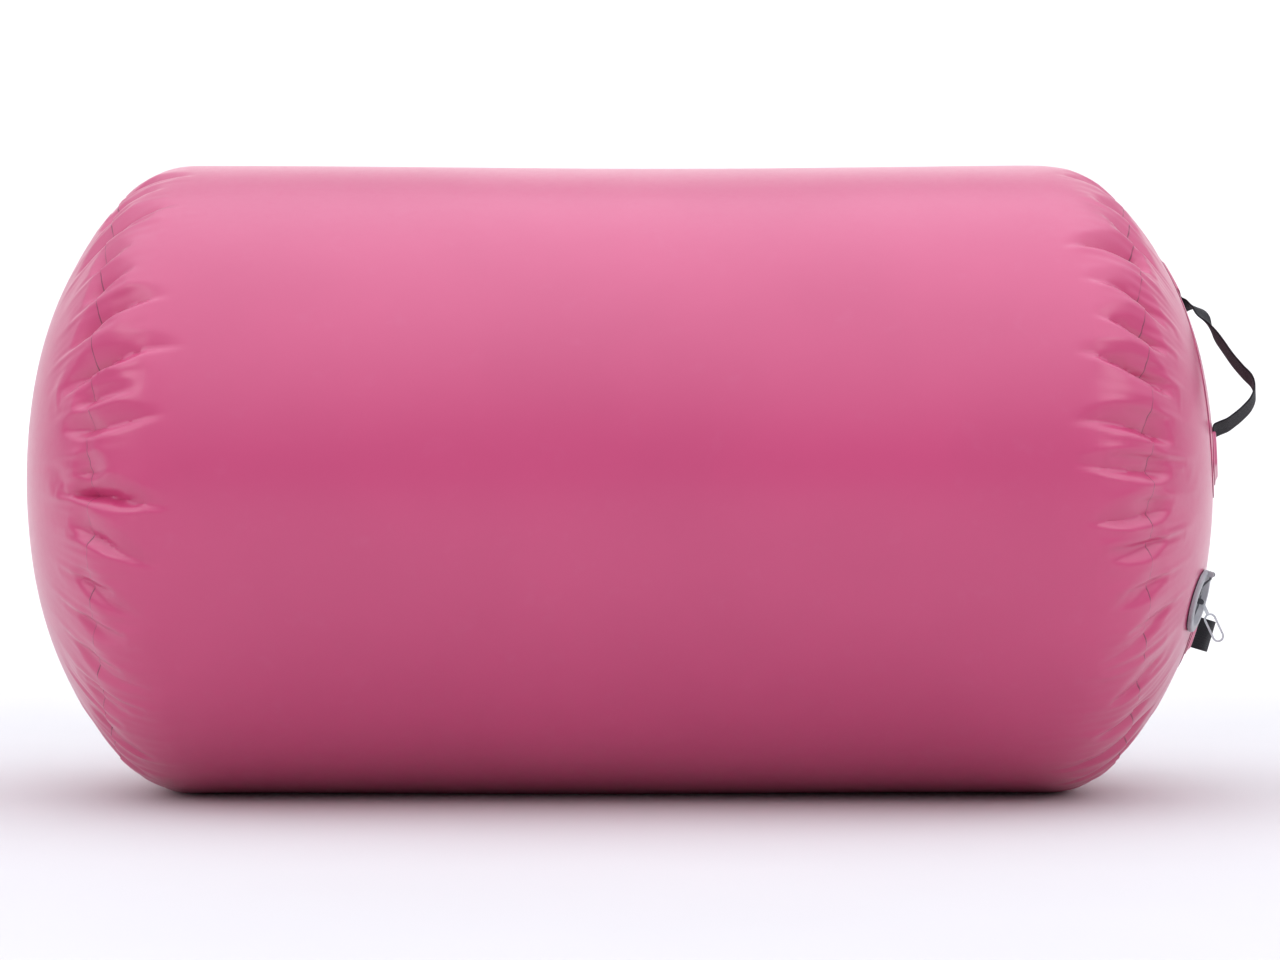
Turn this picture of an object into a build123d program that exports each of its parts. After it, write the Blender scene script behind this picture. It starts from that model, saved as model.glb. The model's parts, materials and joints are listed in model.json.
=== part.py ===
"""Inflatable gymnastics roll: a sealed PVC barrel with two webbing handles and an air valve.

Millimetres.  X runs along the roll towards the valve end, +Z is up, and the origin is the
middle of the flat strip that the roll rests on.
"""

import os
from collections import namedtuple
from math import atan2, cos, degrees, hypot, radians, sin, sqrt

from build123d import *

os.makedirs("parts", exist_ok=True)

# ---- Driving dimensions: the envelope ----------------------------------------------------
roll_radius = 300.0
straight_half = 402.0  # half length of the parallel part
seam_x = 467.0  # the round seam between wall and end panel
seam_radius = 272.5
crown_x = 562.0  # furthest point of the domed end
crown_radius = 550.0  # curvature at the middle of the domed end
foot_width = 64.0  # strip flattened by the floor
skin = 0.9  # thickness of the coated fabric
bond = 0.05  # film of adhesive between welded layers
seam_lap = 20.0  # the end panel's edge runs this far under the wall
tape_width = 40.0
tape_thickness = 0.6
tape_angle = -38.0  # where the lengthwise seam lies, about X from +Y

# ---- Driving dimensions: the handles -----------------------------------------------------
Handle = namedtuple("Handle", "name centre lean patch_half bow")
# centre is (y, z) from the roll's axis, lean is the strap's angle from +Y towards +Z,
# and bow lists the strap's line as (along the chord, above the dome)
handles = [
    Handle(
        "handle_1",
        (-66.0, 106.7),
        65.9,
        (132.0, 58.0),
        [(-62, 16), (-55, 27), (-47, 37), (-37, 42), (-26, 42), (-14, 36), (0, 29.5)]
        + [(18, 23), (34, 17.5), (48, 13.5), (60, 11)],
    ),
    Handle(
        "handle_2",
        (30.0, -143.0),
        0.0,
        (132.0, 49.0),
        [(-62, 14), (-54, 19), (-36, 23.5), (0, 25), (36, 23.5), (54, 19), (62, 14)],
    ),
]
webbing_width = 30.0
webbing = 1.6  # thickness
hinge_rise = 16.0  # the strap bends freely this far above the dome
root_half = 67.0  # half the distance between the strap's free roots
root_dip = 2.2  # the free strap starts this far below its hinge line
root_gap = 0.3
tab_length = 40.0  # the welded part of the strap under each cover
cover_length = 42.0
cover_width = 46.0
cover_corner = 14.0
cover_start = 7.0  # the cover begins this far outside the strap's root
pocket_side = 0.3  # room beside the strap under its cover
pocket_end = 1.0  # and past its end

# ---- Driving dimensions: the valve -------------------------------------------------------
valve_centre = (-132.0, -111.0)  # (y, z) from the roll's axis
valve_faces = (-148.0, -113.0)  # the rigid flange settles square to the dome here
valve_sink = 1.5  # the flange pulls the dome flat this deep
flange_radius = 29.5
flange_top = 5.0
rim_round = 1.8
gasket = 1.0
barrel_radius = 22.5
barrel_end = -31.0
bowl_top_radius = 23.0
bowl_floor_radius = 17.8
bowl_floor = -3.0
socket_radius = 13.5
socket_end = -13.0
throat_radius = 12.3
hub_radius = 6.0
hub_top = -26.0
hub_end = -29.0
spoke_width = 2.6
stem_radius = 3.0
stem_clearance = 0.1
stem_end = -36.6
button_radius = 6.5
button_top = -14.0
button_end = -16.5
button_bevel = 1.0
button_rim = 3.0
grip_width = 2.4  # the bar across the button
diaphragm_radius = 16.5
diaphragm = 2.0
diaphragm_round = 0.6
retainer_radius = 9.0
retainer = 2.0
nut_radius = 31.0
nut_height = 8.0
nut_notches = 8
nut_notch_radius = 3.0
nut_drop = 1.6  # clear of the doubler where it curves away from its flat
edge_break = 0.8  # chamfer on turned edges
doubler_radius = 44.0
press_travel = 6.0
spring_wire = 0.7
spring_turns = 4
spring_radius = 4.7
cap_radius = 17.2
cap_base = -1.3
cap_top = 1.2
cap_round = 0.6
cap_rim = 2.4
cap_dish = 0.7  # how far the cap's middle lies below its rim
plug_radius = 12.9
plug_tip_radius = 12.0
plug_wall = 1.6
plug_end = -2.6  # stays in the bowl, so the closed cap leaves the socket empty
plug_hollow = -1.0
seal_inner = 14.0
seal_outer = 16.6
seal_round = 0.4
hinge_reach = 26.5  # cap hinge from the valve's axis, on the upper side
hinge_height = 7.8
bar_radius = 1.0
eye_inner = 1.1
eye_outer = 2.4
tether_width = 7.0
tether = 1.6  # thickness of the tether where it lies on the cap
tether_hook = 1.0  # its upper side, above the hinge
tether_run = (-5.5, -13.5, -22.0)  # where it ends on the cap, leaves it, and reaches the hinge
ear_thickness = 1.4
lug_thickness = 1.6
side_play = 0.3
pull_pivot = 5.5
pull_angle = 50.0  # the pull loop stands out at this angle from the valve's axis
pull_length = 40.0
pull_bar_width = 3.0
pull_thickness = 2.0
ring_length = 28.0
ring_half_width = 5.6
ring_wire = 1.8
ring_round = 0.5

# ---- Derived: the domed end's meridian ---------------------------------------------------
axis_height = sqrt(roll_radius**2 - (foot_width / 2) ** 2)
seam_fall = roll_radius - seam_radius
seam_run = seam_x - straight_half
seam_turn = 2 * degrees(atan2(seam_fall, seam_run))
shoulder_radius = seam_run / sin(radians(seam_turn))
shoulder = (straight_half, roll_radius - shoulder_radius)
seam_lift = 90 - seam_turn  # direction of the seam's normal, from +X
crown = (crown_x - crown_radius, 0.0)
seam_reach = seam_x - crown[0]
flank_radius = (crown_radius**2 - seam_reach**2 - seam_radius**2) / (
    2 * (crown_radius - seam_reach * cos(radians(seam_lift)) - seam_radius * sin(radians(seam_lift)))
)
flank = (
    seam_x - flank_radius * cos(radians(seam_lift)),
    seam_radius - flank_radius * sin(radians(seam_lift)),
)
crown_lift = degrees(atan2(flank[1], flank[0] - crown[0]))
lap_turn = degrees(seam_lap / shoulder_radius)

roll_axis = Axis((0, 0, axis_height), (1, 0, 0))
meridian = Plane(origin=(0, 0, axis_height), x_dir=(1, 0, 0), z_dir=(0, -1, 0))
dome_outside = skin + bond  # the end panel lies under the wall's edge
beyond = 60.0  # reach of a cutting tool past the solids


def dome_x(radius, inset=dome_outside):
    """X of the domed end at a distance from the roll's axis."""
    if radius < (crown_radius - inset) * sin(radians(crown_lift)):
        return crown[0] + sqrt((crown_radius - inset) ** 2 - radius**2)
    return flank[0] + sqrt((flank_radius - inset) ** 2 - (radius - flank[1]) ** 2)


def dome_normal(y, z):
    """Outward normal of the domed end at (y, z) from the roll's axis."""
    radius = hypot(y, z)
    centre = crown if radius < crown_radius * sin(radians(crown_lift)) else flank
    along = dome_x(radius, 0) - centre[0]
    across = radius - centre[1]
    return Vector(along, across * y / radius, across * z / radius).normalized()


def dome_point(y, z, inset=dome_outside):
    return Vector(dome_x(hypot(y, z), inset), y, z + axis_height)


# ---- Envelope solids ---------------------------------------------------------------------
def filled_wall(inset):
    """The wall's space from seam to seam, with its underside flattened by the floor."""
    shoulder_arc = shoulder_radius - inset
    with BuildPart() as tube:
        with BuildSketch(meridian):
            with BuildLine():
                rise = Line((straight_half, 0), shoulder)
                turn = CenterArc(shoulder, shoulder_arc, seam_lift, seam_turn)
                Line(rise @ 1, turn @ 0)
                top = Line(turn @ 1, (0, roll_radius - inset))
                Line(top @ 1, (0, 0))
                Line((0, 0), rise @ 0)
            make_face()
        revolve(axis=roll_axis)
        mirror(about=Plane.YZ)
        with Locations((0, 0, inset)):
            Box(
                2 * crown_x,
                2 * roll_radius,
                beyond,
                align=(Align.CENTER, Align.CENTER, Align.MAX),
                mode=Mode.SUBTRACT,
            )
    return tube.part


def filled_dome(inset):
    """The domed end's space, with the edge that laps under the wall."""
    with BuildPart() as dome:
        with BuildSketch(meridian):
            with BuildLine():
                lap = CenterArc(shoulder, shoulder_radius - inset, seam_lift, lap_turn)
                side = CenterArc(flank, flank_radius - inset, crown_lift, seam_lift - crown_lift)
                face = CenterArc(crown, crown_radius - inset, 0, crown_lift)
                Line(shoulder, lap @ 1)
                Line(face @ 0, (straight_half, 0))
                Line((straight_half, 0), shoulder)
            make_face()
        revolve(axis=roll_axis)
    return dome.part


def dome_layer(plane, outline, lower, upper):
    """A sheet lying on the dome between two insets, cut to an outline."""
    outer = filled_dome(upper)
    inner = filled_dome(lower)
    with BuildPart() as layer:
        with BuildSketch(plane):
            add(outline)
        extrude(amount=beyond, both=True)
        add(outer, mode=Mode.INTERSECT)
        add(inner, mode=Mode.SUBTRACT)
    return layer.part


def valve_facet(inset):
    """Tool above the flat seat that the valve's flange presses into the dome."""
    with BuildPart() as tool:
        with BuildSketch(valve_seat.offset(dome_outside - inset)):
            Circle(2 * flange_radius)
        extrude(amount=beyond)
    return tool.part


valve_normal = dome_normal(*valve_faces)
valve_origin = dome_point(*valve_centre) - valve_normal * valve_sink
valve_across = valve_normal.cross(Vector(0, 0, -1)).normalized()
valve_down = valve_across.cross(valve_normal).normalized()
valve_seat = Plane(origin=valve_origin, x_dir=valve_down, z_dir=valve_normal)
valve_axis = Axis(valve_origin, valve_normal)
# the half plane that the valve's turned profiles are drawn in: (down the dome, outwards)
valve_section = Plane(origin=valve_origin, x_dir=valve_down, z_dir=-valve_seat.y_dir)

wall_outer = filled_wall(0)
wall_inner = filled_wall(skin)
with BuildPart() as wall_panel:
    add(wall_outer)
    add(wall_inner, mode=Mode.SUBTRACT)
wall_panel.part.label = "wall_panel"
export_step(wall_panel.part, "parts/wall_panel.step")

# the wall is one sheet rolled into a tube: this tape backs its lengthwise seam inside
tape_radius = roll_radius - skin - bond
tape_half_angle = degrees(tape_width / 2 / roll_radius)
tape_plane = Plane(origin=(-straight_half, 0, axis_height), x_dir=(0, 1, 0), z_dir=(1, 0, 0))
with BuildPart() as wall_seam_tape:
    with BuildSketch(tape_plane):
        with BuildLine():
            back = CenterArc((0, 0), tape_radius, tape_angle - tape_half_angle, 2 * tape_half_angle)
            front = CenterArc(
                (0, 0), tape_radius - tape_thickness, tape_angle - tape_half_angle, 2 * tape_half_angle
            )
            Line(back @ 0, front @ 0)
            Line(back @ 1, front @ 1)
        make_face()
    extrude(amount=2 * straight_half)
wall_seam_tape.part.label = "wall_seam_tape"
export_step(wall_seam_tape.part, "parts/wall_seam_tape.step")

dome_outer = filled_dome(dome_outside)
dome_inner = filled_dome(dome_outside + skin)
with BuildPart() as left_end_panel:
    add(dome_outer)
    add(dome_inner, mode=Mode.SUBTRACT)
    mirror(about=Plane.YZ, mode=Mode.REPLACE)
left_end_panel.part.label = "left_end_panel"
export_step(left_end_panel.part, "parts/left_end_panel.step")

facet_outer = valve_facet(dome_outside)
facet_inner = valve_facet(dome_outside + skin)
with BuildPart() as seated_inner:
    add(dome_inner)
    add(facet_inner, mode=Mode.SUBTRACT)
with BuildPart() as right_end_panel:
    add(dome_outer)
    add(facet_outer, mode=Mode.SUBTRACT)
    add(seated_inner.part, mode=Mode.SUBTRACT)
    with BuildSketch(valve_seat):
        Circle(barrel_radius + side_play)
    extrude(amount=beyond, both=True, mode=Mode.SUBTRACT)
right_end_panel.part.label = "right_end_panel"
export_step(right_end_panel.part, "parts/right_end_panel.step")

# ---- Valve -------------------------------------------------------------------------------
doubler_top = dome_outside + skin + bond
doubler_facets = [valve_facet(doubler_top), valve_facet(doubler_top + skin)]
doubler_outer = filled_dome(doubler_top)
doubler_inner = filled_dome(doubler_top + skin)
with BuildPart() as doubler_core:
    add(doubler_inner)
    add(doubler_facets[1], mode=Mode.SUBTRACT)
with BuildPart() as valve_doubler:
    with BuildSketch(valve_seat):
        Circle(doubler_radius)
        Circle(barrel_radius + side_play, mode=Mode.SUBTRACT)
    extrude(amount=beyond, both=True)
    add(doubler_outer, mode=Mode.INTERSECT)
    add(doubler_facets[0], mode=Mode.SUBTRACT)
    add(doubler_core.part, mode=Mode.SUBTRACT)
valve_doubler.part.label = "valve_doubler"
export_step(valve_doubler.part, "parts/valve_doubler.step")

with BuildPart() as valve_gasket:
    with BuildSketch(valve_seat.offset(bond)):
        Circle(flange_radius - 1)
        Circle(barrel_radius + side_play, mode=Mode.SUBTRACT)
    extrude(amount=gasket)
valve_gasket.part.label = "valve_gasket"
export_step(valve_gasket.part, "parts/valve_gasket.step")

flange_base = gasket + 2 * bond
with BuildPart() as valve_body:
    with BuildSketch(valve_section):
        Polygon(
            (barrel_radius, flange_base),
            (flange_radius, flange_base),
            (flange_radius, flange_top),
            (bowl_top_radius, flange_top),
            (bowl_floor_radius, bowl_floor),
            (socket_radius, bowl_floor),
            (socket_radius, socket_end),
            (throat_radius, socket_end),
            (throat_radius, barrel_end),
            (barrel_radius, barrel_end),
            align=None,
        )
    revolve(axis=valve_axis)
    fillet(valve_body.faces().sort_by(valve_axis)[-1].edges().sort_by(SortBy.LENGTH)[-1], rim_round)
    # spider that guides the stem
    with BuildSketch(valve_seat.offset(hub_end)):
        Circle(hub_radius)
        for turn in (0, 90):
            Rectangle(throat_radius + barrel_radius, spoke_width, rotation=turn)
        Circle(stem_radius + stem_clearance, mode=Mode.SUBTRACT)
    extrude(amount=hub_top - hub_end)
    # two lugs and the bar that the cap's tether turns on
    lug_side = tether_width / 2 + side_play
    for side in (-1, 1):
        lug_plane = valve_section.offset(side * (lug_side + lug_thickness / 2))
        with BuildSketch(lug_plane):
            with Locations((-hinge_reach, hinge_height)):
                Circle(eye_outer)
            with Locations((-hinge_reach, hinge_height)):
                Rectangle(2 * eye_outer, hinge_height - flange_top + 1, align=(Align.CENTER, Align.MAX))
        extrude(amount=lug_thickness / 2, both=True)
    with BuildSketch(valve_section):
        with Locations((-hinge_reach, hinge_height)):
            Circle(bar_radius)
    extrude(amount=lug_side + lug_thickness / 2, both=True)
valve_body.part.label = "valve_body"
export_step(valve_body.part, "parts/valve_body.step")

nut_top = -2 * (skin + bond) - nut_drop
with BuildPart() as valve_back_nut:
    with BuildSketch(valve_seat.offset(nut_top - nut_height)):
        Circle(nut_radius)
        with PolarLocations(nut_radius, nut_notches):
            Circle(nut_notch_radius, mode=Mode.SUBTRACT)
        Circle(barrel_radius + bond, mode=Mode.SUBTRACT)
    extrude(amount=nut_height)
    chamfer(valve_back_nut.faces().sort_by(valve_axis)[0].edges().sort_by(SortBy.LENGTH)[-1], edge_break)
valve_back_nut.part.label = "valve_back_nut"
export_step(valve_back_nut.part, "parts/valve_back_nut.step")

with BuildPart() as valve_button:
    with BuildSketch(valve_section):
        Polygon(
            (0, button_end),
            (button_radius, button_end),
            (button_radius, button_top - button_bevel),
            (button_radius - button_bevel, button_top),
            (button_radius - button_rim, button_top - edge_break),
            (0, button_top - edge_break),
            align=None,
        )
    revolve(axis=valve_axis)
    # raised bar that a finger turns the button by
    with BuildSketch(valve_seat.offset(button_top - button_bevel)):
        SlotOverall(2 * button_radius - grip_width, grip_width)
    extrude(amount=button_bevel)
valve_button.part.label = "valve_button"
export_step(valve_button.part, "parts/valve_button.step")

with BuildPart() as valve_stem:
    with BuildSketch(valve_seat.offset(stem_end)):
        Circle(stem_radius)
    extrude(amount=button_end - bond - stem_end)
    chamfer(valve_stem.faces().sort_by(valve_axis)[0].edges(), edge_break)
valve_stem.part.label = "valve_stem"
export_step(valve_stem.part, "parts/valve_stem.step")

spring_base = hub_top + bond
spring_length = button_end - hub_top - 2 * bond
with BuildPart() as valve_spring:
    with BuildLine(valve_seat.offset(spring_base + spring_wire / 2)):
        coil = Helix(
            pitch=(spring_length - spring_wire) / spring_turns,
            height=spring_length - spring_wire,
            radius=spring_radius,
            direction=valve_normal,
        )
    with BuildSketch(Plane(origin=coil @ 0, z_dir=coil % 0)):
        Circle(spring_wire / 2)
    sweep(is_frenet=True)
valve_spring.part.label = "valve_spring"
export_step(valve_spring.part, "parts/valve_spring.step")

diaphragm_top = barrel_end - 2 * bond
with BuildPart() as valve_diaphragm:
    with BuildSketch(valve_seat.offset(diaphragm_top - diaphragm)):
        Circle(diaphragm_radius)
        Circle(stem_radius + stem_clearance, mode=Mode.SUBTRACT)
    extrude(amount=diaphragm)
    fillet(valve_diaphragm.edges().filter_by(GeomType.CIRCLE).sort_by(SortBy.RADIUS)[-2:], diaphragm_round)
valve_diaphragm.part.label = "valve_diaphragm"
export_step(valve_diaphragm.part, "parts/valve_diaphragm.step")

retainer_top = diaphragm_top - diaphragm - side_play
with BuildPart() as diaphragm_retainer:
    with BuildSketch(valve_section):
        Polygon(
            (stem_radius + bond, retainer_top),
            (retainer_radius, retainer_top),
            (retainer_radius, retainer_top - retainer / 2),
            (retainer_radius / 2, retainer_top - retainer),
            (stem_radius + bond, retainer_top - retainer),
            align=None,
        )
    revolve(axis=valve_axis)
diaphragm_retainer.part.label = "diaphragm_retainer"
export_step(diaphragm_retainer.part, "parts/diaphragm_retainer.step")

ear_side = pull_thickness / 2 + side_play
with BuildPart() as valve_cap:
    with BuildSketch(valve_section):
        Polygon(
            (0, plug_hollow),
            (plug_tip_radius - plug_wall - cap_round, plug_hollow),
            (plug_tip_radius - plug_wall, plug_end),
            (plug_tip_radius, plug_end),
            (plug_radius, cap_base),
            (cap_radius, cap_base),
            (cap_radius, cap_top - cap_round),
            (cap_radius - cap_round, cap_top),
            (cap_radius - cap_rim, cap_top),
            (cap_radius - cap_rim - cap_dish, cap_top - cap_dish),
            (0, cap_top - cap_dish),
            align=None,
        )
    revolve(axis=valve_axis)
    # two ears and the bar that the pull loop hangs from
    for side in (-1, 1):
        ear_plane = valve_section.offset(side * (ear_side + ear_thickness / 2))
        with BuildSketch(ear_plane):
            with Locations((0, pull_pivot)):
                Circle(eye_outer)
            with Locations((0, (cap_top - 1 + pull_pivot) / 2)):
                Rectangle(2 * eye_outer, pull_pivot - cap_top + 1)
        extrude(amount=ear_thickness / 2, both=True)
    with BuildSketch(valve_section):
        with Locations((0, pull_pivot)):
            Circle(bar_radius)
    extrude(amount=ear_side + ear_thickness / 2, both=True)
valve_cap.part.label = "valve_cap"
export_step(valve_cap.part, "parts/valve_cap.step")

with BuildPart() as cap_seal:
    with BuildSketch(valve_seat.offset(bowl_floor + 2 * bond)):
        Circle(seal_outer)
        Circle(seal_inner, mode=Mode.SUBTRACT)
    extrude(amount=cap_base - bond - bowl_floor - 2 * bond)
    fillet(cap_seal.edges(), seal_round)
cap_seal.part.label = "cap_seal"
export_step(cap_seal.part, "parts/cap_seal.step")

tether_base = cap_top + bond
tether_end, tether_bend, tether_rise = tether_run
with BuildPart() as cap_tether:
    with BuildSketch(valve_section):
        Polygon(
            (-hinge_reach, hinge_height + tether_hook),
            (tether_rise, hinge_height + tether_hook / 2),
            (tether_bend, tether_base + tether),
            (tether_end, tether_base + tether),
            (tether_end, tether_base),
            (tether_bend - tether, tether_base),
            (tether_rise, hinge_height - tether_hook),
            (-hinge_reach, hinge_height - tether_hook),
            align=None,
        )
        with Locations((-hinge_reach, hinge_height)):
            Circle(eye_outer)
            Circle(eye_inner, mode=Mode.SUBTRACT)
    extrude(amount=tether_width / 2, both=True)
cap_tether.part.label = "cap_tether"
export_step(cap_tether.part, "parts/cap_tether.step")

# the clear pull loop: an eye round the cap's bar, a short bar, then a long oval ring
pull_plane = Plane(
    origin=valve_origin + valve_normal * pull_pivot,
    x_dir=valve_normal * cos(radians(pull_angle)) + valve_down * sin(radians(pull_angle)),
    z_dir=-valve_seat.y_dir,
)
ring_middle = pull_length - ring_length / 2
with BuildPart() as pull_loop:
    with BuildSketch(pull_plane):
        Circle(eye_outer)
        with Locations((ring_middle / 2, 0)):
            Rectangle(ring_middle, pull_bar_width)
        with Locations((ring_middle, 0)):
            SlotOverall(ring_length, 2 * ring_half_width)
            SlotOverall(
                ring_length - 2 * ring_wire, 2 * (ring_half_width - ring_wire), mode=Mode.SUBTRACT
            )
        Circle(eye_inner, mode=Mode.SUBTRACT)
    extrude(amount=pull_thickness / 2, both=True)
    fillet(pull_loop.edges().filter_by(lambda edge: edge.length > ring_length / 2), ring_round)
pull_loop.part.label = "pull_loop"
export_step(pull_loop.part, "parts/pull_loop.step")

# ---- Handles -----------------------------------------------------------------------------
base_lower = dome_outside - bond
base_upper = base_lower - skin
tab_lower = base_upper - bond
tab_upper = tab_lower - webbing
cover_upper = tab_upper - bond - skin
leg_centre = root_half + root_gap + webbing / 2
tab_middle = leg_centre + (tab_length - webbing) / 2
cover_middle = root_half + cover_start + cover_length / 2
pocket_outside = tab_middle + tab_length / 2 + pocket_end
pocket_length = pocket_outside - root_half


def handle_frame(handle):
    """Local frame on the dome: X along the strap's chord, Z outwards."""
    normal = dome_normal(*handle.centre)
    chord = Vector(0, cos(radians(handle.lean)), sin(radians(handle.lean)))
    chord = (chord - normal * chord.dot(normal)).normalized()
    return Plane(origin=dome_point(*handle.centre, base_upper), x_dir=chord, z_dir=normal)


def hinge_level(frame):
    """Height of the strap's hinge line in the handle's frame."""
    falls = []
    for side in (-1, 1):
        root = frame.from_local_coords(Vector(side * root_half, 0, 0))
        foot = dome_point(root.Y, root.Z - axis_height, base_upper)
        falls.append(frame.to_local_coords(foot).Z)
    return hinge_rise + min(falls)


for handle in handles:
    frame = handle_frame(handle)
    level = hinge_level(frame)
    upright = Plane(origin=frame.origin, x_dir=frame.x_dir, z_dir=-frame.y_dir)

    with BuildSketch() as patch_outline:
        Ellipse(*handle.patch_half)
    with BuildPart() as base_patch:
        add(dome_layer(frame, patch_outline.sketch, base_lower, base_upper))
    base_patch.part.label = f"{handle.name}_base_patch"
    export_step(base_patch.part, f"parts/{base_patch.part.label}.step")

    standing_on = filled_dome(tab_lower)
    for side, end in ((-1, "a"), (1, "b")):
        with BuildSketch() as tab_outline:
            with Locations((side * tab_middle, 0)):
                Rectangle(tab_length, webbing_width)
        lying = dome_layer(frame, tab_outline.sketch, tab_lower, tab_upper)
        with BuildPart() as anchor:
            with BuildSketch(upright):
                with Locations((side * leg_centre, level + root_dip)):
                    Rectangle(webbing, beyond / 2, align=(Align.CENTER, Align.MAX))
            extrude(amount=webbing_width / 2, both=True)
            add(standing_on, mode=Mode.SUBTRACT)
            add(lying)
        anchor.part.label = f"{handle.name}_webbing_end_{end}"
        export_step(anchor.part, f"parts/{anchor.part.label}.step")

        with BuildSketch() as cover_outline:
            with Locations((side * cover_middle, 0)):
                RectangleRounded(cover_length, cover_width, cover_corner)
        with BuildSketch() as pocket_outline:
            with Locations((side * (pocket_outside - pocket_length / 2), 0)):
                Rectangle(pocket_length, webbing_width + 2 * pocket_side)
        blank = dome_layer(frame, cover_outline.sketch, tab_lower, cover_upper)
        pocket = dome_layer(frame, pocket_outline.sketch, base_upper, tab_upper - bond)
        with BuildPart() as cover:
            add(blank)
            add(pocket, mode=Mode.SUBTRACT)
        cover.part.label = f"{handle.name}_cover_patch_{end}"
        export_step(cover.part, f"parts/{cover.part.label}.step")

    root = (root_half - webbing / 2, level - root_dip)
    with BuildPart() as bow:
        with BuildSketch(upright):
            with BuildLine():
                Spline((-root[0], root[1]), *handle.bow, root)
            trace(line_width=webbing)
        extrude(amount=webbing_width / 2, both=True)
    bow.part.label = f"{handle.name}_webbing"
    export_step(bow.part, f"parts/{bow.part.label}.step")
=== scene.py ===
"""Looks of the inflatable gymnastics roll: puckered PVC, webbing handles, moulded valve."""

import json
import math

import bpy
import numpy as np
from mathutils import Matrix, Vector


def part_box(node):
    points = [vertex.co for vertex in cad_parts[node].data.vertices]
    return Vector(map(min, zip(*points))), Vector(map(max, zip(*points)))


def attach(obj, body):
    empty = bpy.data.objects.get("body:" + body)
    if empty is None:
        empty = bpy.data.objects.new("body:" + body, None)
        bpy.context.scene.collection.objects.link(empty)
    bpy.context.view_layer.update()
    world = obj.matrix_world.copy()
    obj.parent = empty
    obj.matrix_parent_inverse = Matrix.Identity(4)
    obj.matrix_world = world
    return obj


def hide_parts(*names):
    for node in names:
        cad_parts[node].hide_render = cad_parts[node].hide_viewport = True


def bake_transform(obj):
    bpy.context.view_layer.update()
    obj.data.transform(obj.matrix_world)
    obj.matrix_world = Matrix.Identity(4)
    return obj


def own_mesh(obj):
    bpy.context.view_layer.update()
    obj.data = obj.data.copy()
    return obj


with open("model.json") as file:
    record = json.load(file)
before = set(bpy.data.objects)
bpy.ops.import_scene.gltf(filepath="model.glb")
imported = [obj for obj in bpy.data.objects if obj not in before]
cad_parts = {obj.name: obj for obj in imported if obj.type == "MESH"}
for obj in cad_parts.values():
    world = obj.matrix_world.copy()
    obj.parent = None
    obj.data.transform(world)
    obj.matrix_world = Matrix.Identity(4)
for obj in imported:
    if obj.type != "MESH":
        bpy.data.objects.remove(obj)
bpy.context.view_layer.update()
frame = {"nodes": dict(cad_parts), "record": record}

# ---- Driving dimensions (metres) ---------------------------------------------------------
MM = 0.001
ROLL_RADIUS = 0.300
STRAIGHT_HALF = 0.402
SEAM_X = 0.467
SEAM_RADIUS = 0.2725
CROWN_X = 0.562
CROWN_RADIUS = 0.550
AXIS_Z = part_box("wall_panel")[1][2] - ROLL_RADIUS
SKIN = 0.0009
BOND = 0.00005
END_INSET = SKIN + BOND  # the end panels lie this far under the wall's outside
LAP = 0.008  # how much of the end panel's edge is modelled under the wall's edge
SEAM_ANGLE = math.radians(-38)  # the wall's lengthwise joint, about X from +Y
ROOT_HALF = 0.067  # half the distance between a handle's free roots
COVER_START = 0.007  # a cover begins this far outside the strap's root
COVER_LENGTH = 0.042
COVER_WIDTH = 0.046
TAB_LENGTH = 0.040  # the strap's welded end
WEBBING = 0.0016  # thickness
WEBBING_WIDTH = 0.030
ROOT_BEND = ((0.0006, 0.0012), (-0.0009, 0.0055))  # (past the root, up): how a strap stands up
STRAP_ROWS = 220  # along a strap
TWIST_RUN = 0.016  # a strap's twist dies away over this run
BLEND_BELOW, BLEND_ABOVE = 0.012, 0.007  # distances below and above a strap's hinge level; the strap is not bent between them
PATCH_SEGMENTS, COVER_SEGMENTS = 160, 96  # round a base patch and a cover
EDGE_SHADE = 0.8  # how dark the painted shade at a patch's cut edge is
CAMERA_DISTANCE = 3.0
CAMERA_LENS = 87.7  # millimetres
CAMERA_SHIFT = 0.0156

# ---- Camera ------------------------------------------------------------------------------
camera = bpy.data.objects.new("camera", bpy.data.cameras.new("camera"))
bpy.context.collection.objects.link(camera)
camera.location = (0, -CAMERA_DISTANCE, AXIS_Z)
camera.rotation_euler = (math.pi / 2, 0, 0)
camera.data.lens = CAMERA_LENS
camera.data.shift_x = CAMERA_SHIFT
bpy.context.scene.camera = camera

# ---- The meridian of a domed end ---------------------------------------------------------
seam_turn = 2 * math.atan2(ROLL_RADIUS - SEAM_RADIUS, SEAM_X - STRAIGHT_HALF)
shoulder_radius = (SEAM_X - STRAIGHT_HALF) / math.sin(seam_turn)
shoulder_length = shoulder_radius * seam_turn
seam_lift = math.pi / 2 - seam_turn
crown_centre = CROWN_X - CROWN_RADIUS
reach = SEAM_X - crown_centre
flank_radius = (CROWN_RADIUS**2 - reach**2 - SEAM_RADIUS**2) / (
    2 * (CROWN_RADIUS - reach * math.cos(seam_lift) - SEAM_RADIUS * math.sin(seam_lift))
)
flank_x = SEAM_X - flank_radius * math.cos(seam_lift)
flank_r = SEAM_RADIUS - flank_radius * math.sin(seam_lift)
crown_lift = math.atan2(flank_r, flank_x - crown_centre)
flank_length = flank_radius * (seam_lift - crown_lift)
dome_length = flank_length + CROWN_RADIUS * crown_lift


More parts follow.
